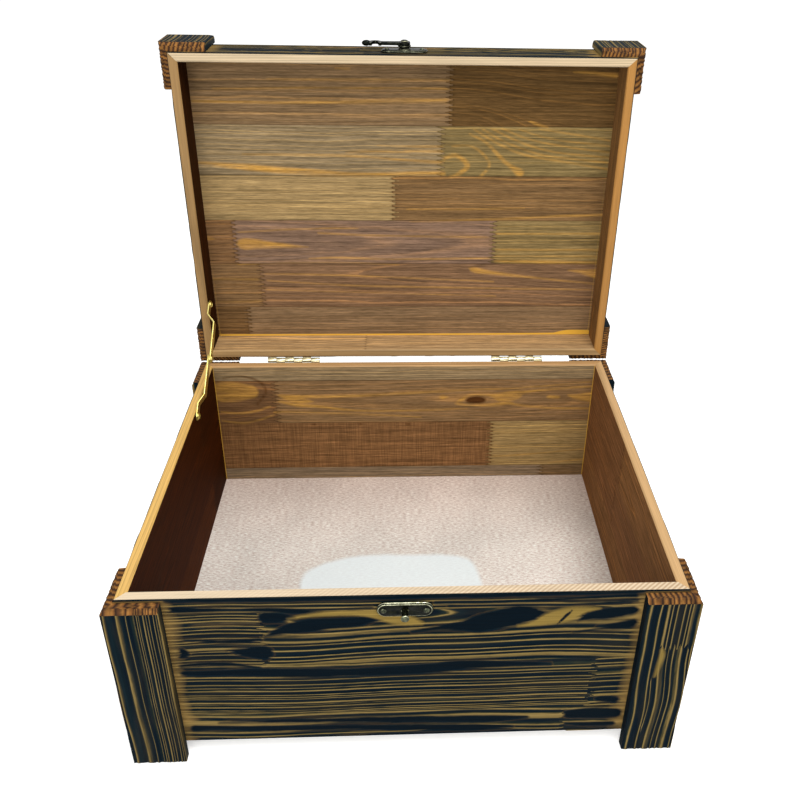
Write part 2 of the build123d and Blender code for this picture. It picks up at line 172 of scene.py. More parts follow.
def makeStainedPine():
    # Pine, planed and wiped with brown stain: the stain varies from stave to stave, hard summer wood
    # takes little of it and shows gold, and the glued seams draw dark lines.
    material = newMaterial("stainedPine")
    inside, count = yearRings(material, 0.5)
    # the stored stain also carries painted shade on inner faces that lie in shadow
    stain = addNode(material, "Attribute", {"attribute_name": "stain"})
    lines = [(0.0, 1.0), (0.1, 0.7), (0.25, 0.1), (0.7, 0.0), (0.92, 0.3), (1.0, 1.0)]
    line = addNode(material, "ValToRGB", inputs={"Fac": inside}, stops=lines)
    bright = {0: ringChance(material, count), 1: 0.2, 2: 1.0, 3: 0.06, 4: 0.8}
    gold = addNode(material, "Math", product, {0: line, 1: bright})
    gold = addNode(material, "Math", product, {0: gold, 1: "char"})
    fresh = addNode(material, "Mix", tint, {0: 1.0, 6: stain, 7: (2.3, 2.0, 1.35, 1.0)})
    dimmer = [(0.0, 1.0), (0.45, 1.0), (0.8, 0.84), (0.9, 0.8), (1.0, 1.0)]
    dim = addNode(material, "ValToRGB", inputs={"Fac": inside}, stops=dimmer)
    edge = woodFibre(material, (26.0, 420.0, 420.0))
    ragged = addNode(material, "Math", scaledSum, {0: edge, 1: 1.5, 2: "summerWood"})
    thin = woodFibre(material, (20.0, 300.0, 300.0))
    patchy = {0: {0: ragged, 1: 1.7, 2: -1.0, 4: 0.9}, 1: {0: thin, 1: 0.3, 2: 0.62, 3: 0.3, 4: 1.0}}
    flame = addNode(material, "Math", product, patchy)
    fibre = woodFibre(material, (14.0, 620.0, 620.0), 6.0)
    pores = woodFibre(material, (90.0, 1700.0, 1700.0), 2.0)
    planer = woodFibre(material, (900.0, 30.0, 30.0), 2.0)
    layers = (
        (blend, gold, fresh),
        (tint, 1.0, dim),
        (blend, flame, "#b4853c"),
        (blend, {0: "shade", 1: 1.0, 2: -2.0}, "#4b2c12"),
        (tint, 1.0, {0: fibre, 1: 0.32, 2: 0.68, 3: 0.68, 4: 1.72}),
        (tint, 1.0, {0: pores, 1: 0.3, 2: 0.6, 3: 0.62, 4: 1.1}),
        # planer marks, only where the wood is plain
        (tint, {0: "char", 1: 0.5, 2: 0.1}, {0: planer, 1: 0.35, 2: 0.65, 3: 0.78, 4: 1.18}),
        (blend, {0: "seam", 1: 0.7, 2: 0.1, 4: 0.62}, "#33200f"),
        (blend, {0: "glue", 1: 0.5, 2: -0.3}, "#e3ae42"),
    )
    return finishMaterial(material, stain, layers, 0.7, fibre, 0.00006, 0.03)


def makeOiledPine():
    # Bare sawn edges of the boards, oiled: cream to orange with fine ring lines and slanting saw marks.
    material = newMaterial("oiledPine")
    inside = yearRings(material, 0.4)[0]
    stain = addNode(material, "Attribute", {"attribute_name": "stain"})
    lines = [(0.0, 0.66), (0.25, 1.0), (0.8, 1.0), (1.0, 0.66)]
    line = addNode(material, "ValToRGB", inputs={"Fac": inside}, stops=lines)
    place = addNode(material, "TexCoord", output="Object")
    slant = addNode(material, "Mapping", inputs={"Vector": place, "Rotation": (0.0, 0.0, 0.9)})
    saw = {"Vector": slant, "Scale": 135.0, "Distortion": 1.2, "Detail": 2.0}
    teeth = addNode(material, "TexWave", inputs=saw, output="Fac")
    marks = addNode(material, "Math", product, {0: teeth, 1: "char"})
    fibre = woodFibre(material, (18.0, 1300.0, 1300.0))
    streak = {0: fibre, 1: 0.3, 2: 0.7, 3: 0.8, 4: 1.2}
    layers = ((tint, 0.8, line), (blend, marks, "#8d6233"), (tint, 1.0, streak))
    return finishMaterial(material, stain, layers, 0.55, fibre, 0.00008, 0.25)


def makeEndGrain():
    # Sawn ends of the corner plates: pine end grain, toasted orange and sooty in the soft rings.
    material = newMaterial("toastedEndGrain")
    inside = yearRings(material, 0.25)[0]
    toasted = [(0.0, "#1f1209"), (0.2, "#4f3017"), (0.5, "#94662f"), (0.75, "#7a4e22"), (1.0, "#1f1209")]
    rings = addNode(material, "ValToRGB", inputs={"Fac": inside}, stops=toasted)
    place = addNode(material, "TexCoord", output="Object")
    smoke = addNode(material, "TexNoise", inputs={"Vector": place, "Scale": 190.0, "Detail": 4.0})
    soot = {0: smoke, 1: 0.4, 2: 0.66, 3: 1.1, 4: 0.4}
    return finishMaterial(material, rings, ((tint, 1.0, soot),), 0.65, smoke, 0.0002, 0.15)


def makePlywood():
    # Rotary-cut tropical plywood, sanded: pinkish beige with short pale flecks; painted light and shade make
    # it lighter at the front and darker, browner towards the back, and a painted pale highlight lies in one
    # place.
    material = newMaterial("sandedPlywood")
    place = addNode(material, "TexCoord", output="Object")
    run = addNode(material, "Mapping", inputs={"Vector": place, "Scale": (260.0, 1000.0, 1000.0)})
    noise = {"Vector": run, "Scale": 1.0, "Detail": 6.0, "Roughness": 0.72}
    flecks = addNode(material, "TexNoise", inputs=noise)
    tones = [(0.3, "#a88f84"), (0.45, "#d2bfb5"), (0.56, "#ebe0d7"), (0.7, "#fffbf5")]
    tone = addNode(material, "ValToRGB", inputs={"Fac": flecks}, stops=tones)
    cloud = addNode(material, "TexNoise", inputs={"Vector": place, "Scale": 11.0, "Detail": 4.0})
    shade = {0: cloud, 1: 0.3, 2: 0.7, 3: 0.88, 4: 1.18}
    towardsBack = addNode(material, "SeparateXYZ", inputs={"Vector": place}, output="Y")
    # painted light and shade: lighter at the front, darker and browner towards the back
    towardsShade = {0: towardsBack, 1: 0.02, 2: 0.13}
    paintedLightAndShade = addNode(material, "Mix", blend, {0: towardsShade, 6: (1.06, 1.13, 1.13, 1.0), 7: (0.77, 0.7, 0.65, 1.0)})
    # painted highlight: a pale blue white patch inside the outline, where the light glares
    patch = addNode(material, "Math", scaledSum, {0: cloud, 1: 12.0, 2: "worn"})
    pale = {0: patch, 1: 7.5, 2: 3.0, 4: 0.8}
    layers = ((tint, 1.0, shade), (tint, 1.0, paintedLightAndShade), (blend, pale, "#f2fdff"))
    return finishMaterial(material, tone, layers, 0.7, flecks, 0.00005, 0.3)


def makeMetal(name, dark, light, roughness):
    # turned or stamped, then plated: the plating is a little cloudy, and duller where it is dark
    material = newMaterial(name)
    place = addNode(material, "TexCoord", output="Object")
    cloud = addNode(material, "TexNoise", inputs={"Vector": place, "Scale": 420.0, "Detail": 5.0})
    colour = addNode(material, "ValToRGB", inputs={"Fac": cloud}, stops=[(0.35, dark), (0.65, light)])
    dull = {0: cloud, 1: 0.35, 2: 0.65, 3: roughness + 0.12, 4: roughness}
    return finishMaterial(material, colour, (), dull, cloud, 0.00002, 0.5, 1.0)


scorchedPine = makeScorchedPine()
stainedPine = makeStainedPine()
oiledPine = makeOiledPine()
toastedEndGrain = makeEndGrain()
sandedPlywood = makePlywood()
# bronze plating: nearly black where it is left alone, grey green where hands and screwdrivers touch it,
# bright on the edges, which is painted highlight as well as rubbing
agedBronze = makeMetal("agedBronze", "#0b0f10", "#23241c", 0.34)
# mid grey green bronze for the screws and the keeper's stud, whose lighter tone is partly a painted highlight
wornBronze = makeMetal("wornBronze", "#2c3028", "#6c7058", 0.24)
# pale metal for the broken edges: painted highlight as well as rubbing
rubbedBronze = makeMetal("rubbedBronze", "#76765a", "#c2c2a4", 0.26)
brassPlate = makeMetal("brassPlatedSteel", "#cfbd66", "#e2d588", 0.28)  # pale gold
zincPlate = makeMetal("zincPlatedSteel", "#cdc39c", "#ded7b8", 0.3)  # warm silver
print("materials ready")


def activate(piece):
    bpy.ops.object.select_all(action="DESELECT")
    piece.select_set(True)
    bpy.context.view_layer.objects.active = piece


def pick(piece, mode, test):
    # in edit mode: selects the faces or edges that pass the test
    bpy.ops.mesh.select_mode(type=mode)
    bpy.ops.mesh.select_all(action="DESELECT")
    mesh = bmesh.from_edit_mesh(piece.data)
    parts = mesh.faces if mode == "FACE" else mesh.edges
    for part in parts:
        if test(part):
            part.select_set(True)
    bmesh.update_edit_mesh(piece.data)


def copyOfNode(nodeName, name):
    activate(cadNodes[nodeName])
    bpy.ops.object.duplicate()
    piece = bpy.context.active_object
    piece.name = name
    piece.parent = None
    for key in list(piece.keys()):
        del piece[key]
    piece.data.materials.clear()
    bpy.ops.object.mode_set(mode="EDIT")
    bpy.ops.mesh.select_all(action="SELECT")
    bpy.ops.mesh.remove_doubles(threshold=1e-6)
    bpy.ops.mesh.dissolve_limited(angle_limit=math.radians(0.5))
    bpy.ops.object.mode_set(mode="OBJECT")
    return piece


def mitredBoard(name, low, high, along, inward):
    # a board whose two ends are sawn at 45 degrees; along is its long axis, inward an axis and a sign
    bpy.ops.object.select_all(action="DESELECT")
    centre = (low + high) / 2
    bpy.ops.mesh.primitive_cube_add(size=1.0, location=centre)
    piece = bpy.context.active_object
    piece.name = name
    bpy.ops.object.mode_set(mode="EDIT")
    bpy.ops.transform.resize(value=high - low)
    axis, sign = inward
    for end in (-1, 1):
        cut = Vector((0, 0, 0))
        cut[along] = (high if end > 0 else low)[along]
        cut[axis] = (low if sign > 0 else high)[axis]
        normal = Vector((0, 0, 0))
        normal[along] = end
        normal[axis] = sign
        bpy.ops.mesh.select_all(action="SELECT")
        bpy.ops.mesh.bisect(plane_co=cut, plane_no=normal, use_fill=True, clear_outer=True)
    bpy.ops.object.mode_set(mode="OBJECT")
    bpy.ops.object.transform_apply(location=True, rotation=True, scale=True)
    return piece


def gridFace(piece, normal, long, cuts, lean=0.999):
    # divides the faces with that normal: cuts[0] holds the passes along the long axis, cuts[1] those across
    # it, which also divide the bevels whose normals lean away up to lean
    def onFace(edge, limit):
        return any(face.normal.dot(normal) > limit for face in edge.link_faces)

    activate(piece)
    bpy.ops.object.mode_set(mode="EDIT")
    across = next(axis for axis in range(3) if axis != long and abs(normal[axis]) < 0.5)
    for axis, passes, limit in ((across, cuts[1], lean), (long, cuts[0], 0.999)):
        for number in passes:

            def runs(edge):
                way = (edge.verts[1].co - edge.verts[0].co).normalized()
                return abs(way[axis]) > 0.9 and onFace(edge, limit)

            pick(piece, "EDGE", runs)
            bpy.ops.mesh.subdivide(number_cuts=number)
    bpy.ops.object.mode_set(mode="OBJECT")


# how a board grew, in millimetres: u along the grain, v across it and w into the board from its outer face
plainGrain = {
    "to": endless,  # where this length of the stave ends, along the grain
    "heart": -40.0,  # the pith line, across the grain
    "depth": 8.0,  # and below the face
    "tip": 0.0,  # where the pith comes nearest
    "slope": 0.05,
    "reach": 150.0,
    "ringWidth": 4.0,
    "crowd": 1.0,  # above 1 the rings get closer away from the pith
    "wave": 0.8,
    "waveLength": 170.0,
    "turn": 0.0,
    "knots": (),  # u, v and radius
    "char": 0.75,
    # the stain; on some inner faces it also carries painted shade
    "stain": "#7a5f42",
}


def length(to=endless, **values):
    # one of the lengths that are finger jointed into a stave
    return {**plainGrain, "to": to, **values}


def newStave(to, *lengths):
    return {"to": to, "lengths": lengths}


def ringPhase(u, v, w, grain):
    turn = grain["turn"]
    bend = np.sin(2 * math.pi * u / grain["waveLength"] + turn)
    bend += 0.45 * np.sin(2 * math.pi * u / (0.41 * grain["waveLength"]) + 2.3 * turn + 0.02 * v)
    across = v - grain["heart"] + grain["wave"] * bend
    for knotU, knotV, radius in grain["knots"]:
        du, dv = (u - knotU) / 1.8, v - knotV
        far = np.maximum(du**2 + dv**2, radius**2)
        across = across - dv * radius**2 / far
    away = grain["slope"] * grain["reach"] * np.tanh((u - grain["tip"]) / grain["reach"])
    radius = np.hypot(across, np.hypot(grain["depth"], away) + w)
    rings = (radius / grain["ringWidth"]) ** grain["crowd"]
    return rings + 0.22 * np.sin(2.1 * rings + turn) + 0.13 * np.sin(5.3 * rings + 2 * turn)


# how near a tooth's flank is, for each millimetre along the grain, is its slant
finger = {"pitch": 4.4, "depth": 3.2, "slant": 0.27}


def fingerJoint(v):
    # sideways place of a glued finger joint at height v
    return finger["depth"] * (2 * np.abs(2 * (v / finger["pitch"] % 1) - 1) - 1)


def staveMasks(staves, u, v):
    # yields each length of each stave with the places that belong to it
    top = -endless
    for row, stave in enumerate(staves):
        inRow = (v >= top) & (v < stave["to"])
        start = -endless
        for order, part in enumerate(stave["lengths"]):
            end = part["to"] + (fingerJoint(v) if part["to"] < endless else 0.0)
            yield part, 60.0 * row + 17.0 * order, inRow & (u >= start) & (u < end)
            start = end
        top = stave["to"]


def grownStaves(seed, width, span, **values):
    # staves about 52 mm wide for a face nobody chose
    chance = np.random.default_rng(seed)
    staves, done = [], 0.0
    while done < width:
        done += chance.uniform(46, 54)
        joint = chance.uniform(-0.35, 0.35) * span
        lengths = [
            length(
                to=end,
                heart=done - chance.uniform(-20, 70),
                depth=chance.uniform(3, 14),
                tip=chance.uniform(-0.5, 0.5) * span,
                slope=chance.uniform(0.03, 0.12),
                ringWidth=chance.uniform(2.6, 5.2),
                crowd=chance.uniform(1.0, 1.25),
                wave=chance.uniform(0.5, 1.8),
                turn=chance.uniform(0, 6),
                **{key: value[int(chance.integers(len(value)))] for key, value in values.items()},
            )
            for end in (joint, endless)
        ]
        staves.append(newStave(done if done < width else endless, *lengths))
    return staves


def curved(stroke):
    # a smooth run of points through those given
    points = np.array(stroke, float)
    if len(points) < 3:
        return points
    ends = np.vstack((2 * points[0] - points[1], points, 2 * points[-1] - points[-2]))
    run = []
    for a, b, c, d in zip(ends, ends[1:], ends[2:], ends[3:]):
        for t in (0.0, 0.25, 0.5, 0.75):
            run.append(b + 0.5 * t * (c - a + t * (2 * a - 5 * b + 4 * c - d + t * (3 * b - a - 3 * c + d))))
    return np.array(run + [points[-1]])


def strokeDistance(u, v, strokes):
    # to the edge of the nearest stroke, negative inside; a stroke is a run of u, v and width
    nearest = np.full(len(u), farOff)
    for stroke in strokes:
        run = curved(stroke)
        reach = run[:, 2].max() / 2 + 4.0  # nothing is drawn further out
        close = (u > run[:, 0].min() - reach) & (u < run[:, 0].max() + reach)
        close &= (v > run[:, 1].min() - reach) & (v < run[:, 1].max() + reach)
        nearU, nearV = u[close], v[close]
        found = nearest[close]
        for (u0, v0, width0), (u1, v1, width1) in zip(run, run[1:]):
            du, dv = u1 - u0, v1 - v0
            part = np.clip(((nearU - u0) * du + (nearV - v0) * dv) / (du * du + dv * dv), 0, 1)
            gap = np.hypot(nearU - u0 - part * du, nearV - v0 - part * dv)
            found = np.minimum(found, gap - (width0 + part * (width1 - width0)) / 2)
        nearest[close] = found
    return nearest


def seamDistance(staves, u, v):
    # to the nearest glued seam or finger joint
    nearest = np.full(len(u), farOff)
    top = -endless
    for stave in staves:
        inRow = (v >= top) & (v < stave["to"])
        nearest = np.minimum(nearest, np.abs(v - stave["to"]))
        for part in stave["lengths"][:-1]:
            joint = finger["slant"] * np.abs(u - part["to"] - fingerJoint(v))
            nearest = np.where(inRow, np.minimum(nearest, joint), nearest)
        top = stave["to"]
    return nearest


def figureOf(board, side, u, v):
    # flame is unstained summer wood, shade is charred or dark wood, glue is a bead left in a corner
    figure = board.get(side + "Figure", {})
    flame = strokeDistance(u, v, figure.get("flame", ()))
    shade = np.maximum(strokeDistance(u, v, figure.get("shade", ())), -flame)
    shade = np.minimum(shade, 3.0 * strokeDistance(u, v, figure.get("crack", ())))  # sharp at its edge
    return flame, shade, strokeDistance(u, v, figure.get("glue", ()))


def readMesh(collection, key, width=3, kind=float):
    values = np.empty(len(collection) * width, kind)
    collection.foreach_get(key, values)
    return values.reshape(-1, width) if width > 1 else values


def paintGrain(piece, board):
    # writes the board's wood at every corner of every face
    mesh = piece.data
    points = readMesh(mesh.vertices, "co")
    ofLoop = readMesh(mesh.loops, "vertex_index", 1, int)
    total = readMesh(mesh.polygons, "loop_total", 1, int)
    centre, normal = readMesh(mesh.polygons, "center"), readMesh(mesh.polygons, "normal")
    axes = np.array([board["grain"], board["across"], -np.array(board["out"])], float)
    origin = np.array(board["origin"], float)

    def local(places):
        return (places - origin) @ axes.T / mm

    cornerPlace = local(points)[ofLoop]
    faceOf = np.repeat(np.arange(len(mesh.polygons)), total)
    facePlace = local(centre)[faceOf]
    outward = (normal @ np.array(board["out"], float))[faceOf]
    toRim = (normal @ np.array(board["rim"], float))[faceOf]
    # the rim takes in the broken edge towards the inside; the arris is the broken edge towards the outside
    isRim = (toRim > board.get("rimLean", 0.95)) | ((toRim > 0.5) & (outward < -0.1))
    isInner = (outward < -0.3) & ~isRim
    isArris = (np.abs(toRim) > 0.5) & (outward > 0.1) & ~isRim
    ring, char = np.zeros(len(ofLoop)), np.zeros(len(ofLoop))
    stain = np.ones((len(ofLoop), 4))
    for side, chosen in (("outer", ~isInner), ("inner", isInner)):
        for part, shift, mask in staveMasks(board[side], facePlace[:, 0], facePlace[:, 1]):
            mask = mask & chosen
            u, v, w = cornerPlace[mask].T
            if side == "inner":
                w = board["thick"] - w
            ring[mask] = ringPhase(u, v, w, part) + shift
            char[mask] = part["char"]
            stain[mask] = linear(part["stain"])
    if "rimStain" in board:
        stain[isRim] = linear(board["rimStain"])
    vertexPlace = local(points)
    figures = [figureOf(board, side, vertexPlace[:, 0], vertexPlace[:, 1]) for side in ("outer", "inner")]
    flame, shade, glue = (np.where(isInner, inner[ofLoop], outer[ofLoop]) for outer, inner in zip(*figures))
    seam = seamDistance(board["inner"], cornerPlace[:, 0], cornerPlace[:, 1])
    if "burnEnd" in board:
        fade = (board["burnEnd"] - np.abs(cornerPlace[:, 0])) / board["burnFade"]
        char *= np.where(isInner | isArris, 1.0, np.clip(fade, 0.0, 1.0))
    char[isArris] = 1.0
    shade[isArris] = -1.0
    saw = np.clip((cornerPlace[:, 0] - board.get("sawnFrom", endless)) / 30.0, 0.0, 0.6)
    char = np.where(isRim, saw, char)
    along = cornerPlace * mm + board["shift"]
    for kind, key, stored in (
        ("FLOAT", "value", {"ring": ring, "char": char, "summerWood": flame, "shade": shade}),
        ("FLOAT", "value", {"glue": glue, "seam": seam}),
        ("FLOAT_COLOR", "color", {"stain": stain}),
        ("FLOAT_VECTOR", "vector", {"along": along}),
    ):
        for name, values in stored.items():
            attribute = mesh.attributes.new(name, kind, "CORNER")
            attribute.data.foreach_set(key, np.asarray(values, np.float32).ravel())
    for material in (scorchedPine, stainedPine, board.get("rimMaterial", oiledPine)):
        mesh.materials.append(material)
    firstLoop = np.concatenate(([0], np.cumsum(total)[:-1]))
    index = np.where(isInner, 1, np.where(isRim, 2, 0))[firstLoop]
    mesh.polygons.foreach_set("material_index", index.astype(np.int32))
    return vertexPlace


def brushRelief(piece, board, places):
    # sinks the soft wood between the rings of the outer face, as a wire brush does
    outerPoints = set()
    for face in piece.data.polygons:
        if face.normal.dot(Vector(board["out"])) > 0.3:
            outerPoints.update(face.vertices)
    chosen = np.array(sorted(outerPoints))
    u, v, w = places[chosen].T
    sunk = np.zeros(len(chosen))
    for part, shift, mask in staveMasks(board["outer"], u, v):
        inside = ringPhase(u[mask], v[mask], w[mask], part) % 1.0
        sunk[mask] = np.clip(1.6 * (0.5 - 0.5 * np.cos(2 * math.pi * inside)) - 0.25, 0, 1)
    flame, shade, glue = figureOf(board, "outer", u, v)
    sunk = np.where(flame < 0, 0.0, np.where(shade < 0.5, np.clip(0.5 - shade, 0, 1), sunk))
    group = piece.vertex_groups.new(name="softWood")
    for point, weight in zip(chosen.tolist(), sunk.tolist()):
        if weight > 0:
            group.add([point], weight, "REPLACE")
    activate(piece)
    press = piece.modifiers.new("brushing", "DISPLACE")
    press.mid_level = 0.0
    press.strength = -board["brushDepth"] * mm
    press.vertex_group = "softWood"
    bpy.ops.object.modifier_apply(modifier=press.name)


def pieceName(nodeName):
    words = nodeName.split("_")
    return words[0] + "".join(word.capitalize() for word in words[1:])


def finishBoard(piece, board, body, slotName, *nodeNames):
    places = paintGrain(piece, board)
    brushRelief(piece, board, places)
    bpy.ops.object.shade_smooth_by_angle(angle=math.radians(35))
    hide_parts(*nodeNames)
    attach(piece, body)
    print(piece.name, len(piece.data.polygons))


frontFigure = {
    "shade": (
        ((-158, 0.8, 4.6), (-60, 1.4, 5), (160, 0.4, 5)),
        ((-156, 9.1, 2.2), (-152, 10, 6.4), (-143, 10.4, 6.4), (-132, 10.5, 4.5), (-114, 10.7, 1.9),
         (-92, 11.5, 4.9), (-66, 13.9, 4.9), (-47, 12.6, 3), (-23, 11, 1.5)),
        ((-151, 38.4, 0.8), (-141, 39.6, 2.4), (-127, 41.2, 3.9), (-111, 41.1, 4.4), (-100, 39.7, 2.8)),
        ((-124, 49.6, 0.8), (-112, 51.6, 8.8), (-99, 53.1, 14.1)),
        ((-154, 47.9, 3.2), (-152, 52.3, 6), (-155, 55.9, 2)),
        ((-156, 64.8, 2.9), (-141, 62.9, 4.1), (-121, 64.2, 3.7), (-102, 67.9, 1.7)),
        ((-155, 72.3, 5.4), (-139, 72.9, 6.2), (-106, 72.8, 8.3), (-78, 74.6, 9.6), (-36, 75.3, 9.2),
         (16, 73.2, 10.8), (37, 70.6, 10.3), (63, 69.9, 7), (102, 70.8, 2.9)),
        ((-94, 18.8, 10.7), (-85, 19.1, 9.6), (-76, 19, 2.3)),
        ((-96, 36.6, 1.6), (-83, 31.1, 8.6), (-69, 27.7, 12.8), (-50, 25.9, 10.9), (-34, 24.5, 9.7),
         (-23, 22.8, 5.8), (-16, 21.5, 1.2)),
        ((-154, 131.5, 6.8), (-137, 131.8, 5), (-96, 134.4, 6.9), (-37, 135.3, 5.5), (39, 138.5, 7.8),
         (78, 139.2, 3.7)),
        ((-136, 125.9, 2.3), (-95, 126, 4.5), (-44, 126.5, 5.9), (17, 128, 7.7), (57, 129.2, 8.2),
         (89, 128.7, 3.2)),
        ((20, 7.8, 3), (62, 7.8, 2.6), (116, 6.3, 3), (155, 4.4, 3.4)),
        ((29, 11, 1.9), (70, 11.8, 2.3), (116, 12, 1.9), (157, 9.7, 3.4)),
        ((4, 35.1, 3.1), (23, 31.8, 5), (42, 30.4, 11.6), (52, 28.2, 17.4), (71, 23, 19.2),
         (82, 21.4, 16.5),
         (98, 20.9, 5.8), (117, 16.7, 1.9)),
        ((118, 28.3, 1.6), (126, 23.7, 7.7), (139, 21.2, 10.4), (155, 18.8, 8.8)),
        ((132, 34, 1.2), (145, 33, 5.1), (157, 30.4, 6.7)),
        ((116, 39, 1.2), (133, 36.5, 2.8), (148, 34.8, 5.9), (156, 32.3, 6.7)),
        ((121, 126.4, 9.1), (136, 126.1, 12.7), (155, 126.9, 11.4)),
        ((119, 137.3, 3.2), (137, 138.7, 5.1), (154, 138.7, 6)),
        ((142, 110.3, 6.6), (153, 111.2, 8)),
    ),
    "flame": (
        ((77, 31.5, 1.9), (88, 29.3, 5), (98, 24.8, 11.6), (110, 21.3, 12.7), (122, 17.4, 5.4),
         (132, 16.6, 1.5)),
        ((-80, 20, 1), (-60, 16.5, 4), (-30, 16, 6), (-5, 22, 12), (10, 27, 3)),
    ),
    "crack": (((104, 30.4, 1.2), (108.5, 23.6, 2.5), (113, 17.2, 1.4)),),
}
backFigure = {
    "flame": (
        ((-178, 28.9, 24), (-166, 29, 23), (-152, 29.1, 17)),
        ((-182, 52.7, 1.6), (-164, 54.5, 2.6), (-146, 51.5, 2.3), (-134, 46.5, 1.6)),
        ((-182, 63.1, 2), (-162, 66.3, 2.6), (-145, 62.5, 2.3), (-131, 56.8, 1.3)),
        ((-124, 33.8, 2.8), (-110, 34.9, 4.4), (-71, 35.2, 2.9), (-18, 33.2, 2.9), (27, 30.4, 2.9),
         (61, 28.8, 1.9), (114, 26.4, 1.6), (183, 20, 1.3)),
        ((-124, 40.2, 2.9), (-108, 45.1, 4.2), (-87, 46.9, 3.2), (-50, 52.1, 2.6), (8, 52.4, 2.3),
         (62, 51, 1.3)),
        ((-120, 36.4, 3.2), (-110, 39, 8.3), (-100, 40.4, 7.7), (-91, 41.1, 0.6)),
        ((36, 36.9, 6.4), (41, 36.9, 2.6)),
        ((50, 44.7, 3.2), (56, 39.6, 4.5), (64, 34.9, 2.6), (83, 35, 3.2), (96, 37.7, 12.2),
         (109, 35.3, 10.9),
         (117, 32.2, 3.8), (141, 28.5, 2.6), (185, 25.4, 2.2)),
        ((51, 44.7, 3.9), (64, 46.8, 2.9), (86, 47, 4.6), (102, 44.3, 5.2), (110, 46.6, 2.6),
         (143, 50.8, 2.3),
         (185, 51.9, 2)),
        ((142, 37.5, 4.5), (152, 37.9, 3.9)),
        ((162, 35.8, 2.6), (169, 37.8, 6.5), (186, 37.9, 12.3)),
        ((-130, 54.2, 2.6), (-114, 53.1, 1.9), (-34, 57.2, 1.3), (16, 61, 1.3)),
        ((89, 111.3, 1.4), (119, 109.7, 1.7), (155, 106, 1), (187, 102.6, 1.7)),
        ((148, 120.6, 1.1), (186, 116.2, 1.8)),
    ),
    "shade": (
        ((62, 40.6, 7.1), (69, 40.7, 11), (76, 40.8, 7.7)),
        ((-177, 13, 1), (-158, 11, 2), (-141, 18, 2.5), (-137, 30, 2.6), (-146, 44, 2)),
        ((-93, 69, 2.4), (-91, 69, 2.4)),
        ((-46.5, 69, 2.4), (-45, 69, 2.4)),
        ((1, 69.5, 2.8), (3, 69.5, 2.8)),
    ),
    "glue": (((-184.6, -3, 1.2), (-184.6, 140, 1.4)), ((184.6, -3, 1.3), (184.6, 140, 1.5))),
}
frontOuter = [
    newStave(13.5, length(heart=-32, depth=4, ringWidth=4.7, wave=0.5, slope=0.02)),
    newStave(
        65.0,
        length(to=-97.9, heart=-12, depth=6, ringWidth=3.6, wave=0.9, slope=0.05, tip=-150, char=0.5),
        length(
            heart=19, depth=7, tip=-25, slope=0.13, reach=120, ringWidth=4.6, wave=2.2, waveLength=310,
            turn=0.6,
        ),
    ),
    newStave(
        117.5,
        length(to=134.0, heart=60, depth=3, ringWidth=8.5, crowd=1.45, wave=1.1, waveLength=330, slope=0.03),
        length(heart=48, depth=5, ringWidth=5.0, wave=0.6, turn=2.0),
    ),
    newStave(
        endless,
        length(to=117.0, heart=98, depth=5, ringWidth=7.6, wave=1.2, waveLength=260, turn=1.0, char=0.6),
        length(heart=90, depth=4, ringWidth=8.0, wave=1.0, turn=3.0, char=0.45),
    ),
]
backInner = [
    newStave(16.4, length(heart=-30, ringWidth=2.2, stain="#857052")),
    newStave(
        66.7,
        length(to=-127.4, heart=38, depth=2, tip=-195, slope=0.22, ringWidth=8.0, stain="#6f5034"),
        length(
            heart=39, depth=3, tip=60, slope=0.09, reach=120, ringWidth=5.6, wave=0.8, stain="#7d6040",
            knots=((46, 36, 2.5), (78, 41, 7), (152, 38, 3)),
        ),
    ),
    newStave(
        122.7,
        length(to=86.0, heart=-200, ringWidth=14.0, char=0.1, stain="#7e5937"),
        length(heart=40, ringWidth=3.0, depth=20, char=0.6, stain="#947a4e"),
    ),
    newStave(
        endless,
        length(to=140.4, heart=60, ringWidth=2.6, stain="#7f6c55"),
        length(heart=70, ringWidth=2.2, stain="#7a6244"),
    ),
]
innerStainsAndShade = {
    "front": ("#6a4a2c", "#74543a"),
    "right": ("#7a5434", "#805a36", "#744e2f"),
    # left is painted shade: the left inner wall is coloured near black brown, far darker than its stain, as
    # it lies in shadow
    "left": ("#341502", "#3f1c03", "#2f1302"),
}
walls = {
    "front": {"grain": (1, 0, 0), "out": (0, -1, 0), "rimStain": "#d6c2a4"},
    "right": {"grain": (0, 1, 0), "out": (1, 0, 0), "rimStain": "#c29c6c"},
    "back": {"grain": (1, 0, 0), "out": (0, 1, 0), "rimStain": "#b9905f"},
    "left": {"grain": (0, 1, 0), "out": (-1, 0, 0), "rimStain": "#d9ae62"},
}
# passes of cuts along and across the grain, on the outer and the inner face
wallCuts = {
    "front": (((100, 2), (100, 1)), ((60,), (60,))),
    "right": (((100, 1), (100, 1)), ((60,), (60,))),
    "back": (((100, 1), (100, 1)), ((60, 1), (60, 3))),
    "left": (((100, 1), (100, 1)), ((60,), (60,))),
}
rimArris = 0.0009
boardThick = (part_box("front_wall")[1].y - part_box("front_wall")[0].y) / mm


